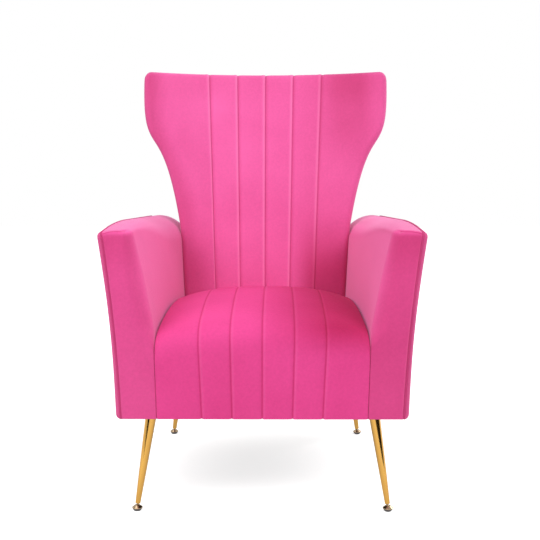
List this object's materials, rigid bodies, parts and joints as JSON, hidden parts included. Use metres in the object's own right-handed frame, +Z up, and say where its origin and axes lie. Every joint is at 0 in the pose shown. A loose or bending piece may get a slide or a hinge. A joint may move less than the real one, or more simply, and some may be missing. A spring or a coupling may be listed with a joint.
{
  "type": "wing chair",
  "caption": "Upholstered velvet wing chair with a waisted high back, flared arms, a crowned channel-stitched seat and thin splayed metal legs on swivelling levelling feet.",
  "frame": {"origin": "on the floor, under the middle of the chair's outline seen from above", "axes": "+Z up, -Y towards the front where the sitter faces, +X towards the right seen from the front"},
  "size_m": [0.6872, 0.6902, 1.003],
  "materials": {
    "velvet": "cut pile with sheen",
    "foam": "matt",
    "timber": "sawn",
    "webbing": "woven",
    "dust_cloth": "non-woven",
    "steel": "zinc plated",
    "leg": "polished gold plating",
    "cap": "polished",
    "sole": "matt"
  },
  "bodies": {
    "chair": {"arm_bottom_rail_left": "timber", "arm_bottom_rail_right": "timber", "arm_cover_left": "velvet", "arm_cover_right": "velvet", "arm_foam_left": "foam", "arm_foam_right": "foam", "arm_front_post_left": "timber", "arm_front_post_right": "timber", "arm_outside_panel_left": "velvet", "arm_outside_panel_right": "velvet", "arm_rear_post_left": "timber", "arm_rear_post_right": "timber", "arm_top_rail_left": "timber", "arm_top_rail_right": "timber", "arm_tuck_rail_left": "timber", "arm_tuck_rail_right": "timber", "back_bolts": "steel", "back_bottom_rail": "timber", "back_cover": "velvet", "back_crest_rail": "timber", "back_foam": "foam", "back_lumbar_rail": "timber", "back_tee_nuts": "steel", "back_upright_left": "timber", "back_upright_right": "timber", "back_webbing": "webbing", "back_wing_board_left": "timber", "back_wing_board_right": "timber", "corner_blocks": "timber", "dust_cover": "dust_cloth", "leg_bushes": "steel", "leg_front_left": "leg", "leg_front_right": "leg", "leg_plates": "steel", "leg_rear_left": "leg", "leg_rear_right": "leg", "outside_back_cover": "velvet", "seat_cover": "velvet", "seat_foam": "foam", "seat_front_rail": "timber", "seat_rear_rail": "timber", "seat_webbing_crosswise": "webbing", "seat_webbing_lengthwise": "webbing", "seat_webbing_rail": "timber"},
    "stud_front_right": {"glide_stud_front_right": "steel"},
    "foot_front_right": {"glide_cap_front_right": "cap", "glide_sole_front_right": "sole"},
    "stud_front_left": {"glide_stud_front_left": "steel"},
    "foot_front_left": {"glide_cap_front_left": "cap", "glide_sole_front_left": "sole"},
    "stud_rear_right": {"glide_stud_rear_right": "steel"},
    "foot_rear_right": {"glide_cap_rear_right": "cap", "glide_sole_rear_right": "sole"},
    "stud_rear_left": {"glide_stud_rear_left": "steel"},
    "foot_rear_left": {"glide_cap_rear_left": "cap", "glide_sole_rear_left": "sole"}
  },
  "joints": [
    {"name": "level_front_right", "type": "slide", "parent": "chair", "child": "stud_front_right", "axis": [0.1378, -0.1378, -0.9808], "range_m": [0, 0.008]},
    {"name": "swivel_front_right", "type": "hinge", "parent": "stud_front_right", "child": "foot_front_right", "pos_m": [0.269, -0.311, 0.009], "axis": [0.7071, 0.7071, 0], "range_deg": [-26, 3.5]},
    {"name": "level_front_left", "type": "slide", "parent": "chair", "child": "stud_front_left", "axis": [-0.1378, -0.1378, -0.9808], "range_m": [0, 0.008]},
    {"name": "swivel_front_left", "type": "hinge", "parent": "stud_front_left", "child": "foot_front_left", "pos_m": [-0.269, -0.311, 0.009], "axis": [0.7071, -0.7071, 0], "range_deg": [-26, 3.5]},
    {"name": "level_rear_right", "type": "slide", "parent": "chair", "child": "stud_rear_right", "axis": [0.1378, 0.1378, -0.9808], "range_m": [0, 0.008]},
    {"name": "swivel_rear_right", "type": "hinge", "parent": "stud_rear_right", "child": "foot_rear_right", "pos_m": [0.257, 0.254, 0.009], "axis": [-0.7071, 0.7071, 0], "range_deg": [-26, 3.5]},
    {"name": "level_rear_left", "type": "slide", "parent": "chair", "child": "stud_rear_left", "axis": [-0.1378, 0.1378, -0.9808], "range_m": [0, 0.008]},
    {"name": "swivel_rear_left", "type": "hinge", "parent": "stud_rear_left", "child": "foot_rear_left", "pos_m": [-0.257, 0.254, 0.009], "axis": [-0.7071, -0.7071, 0], "range_deg": [-26, 3.5]}
  ]
}
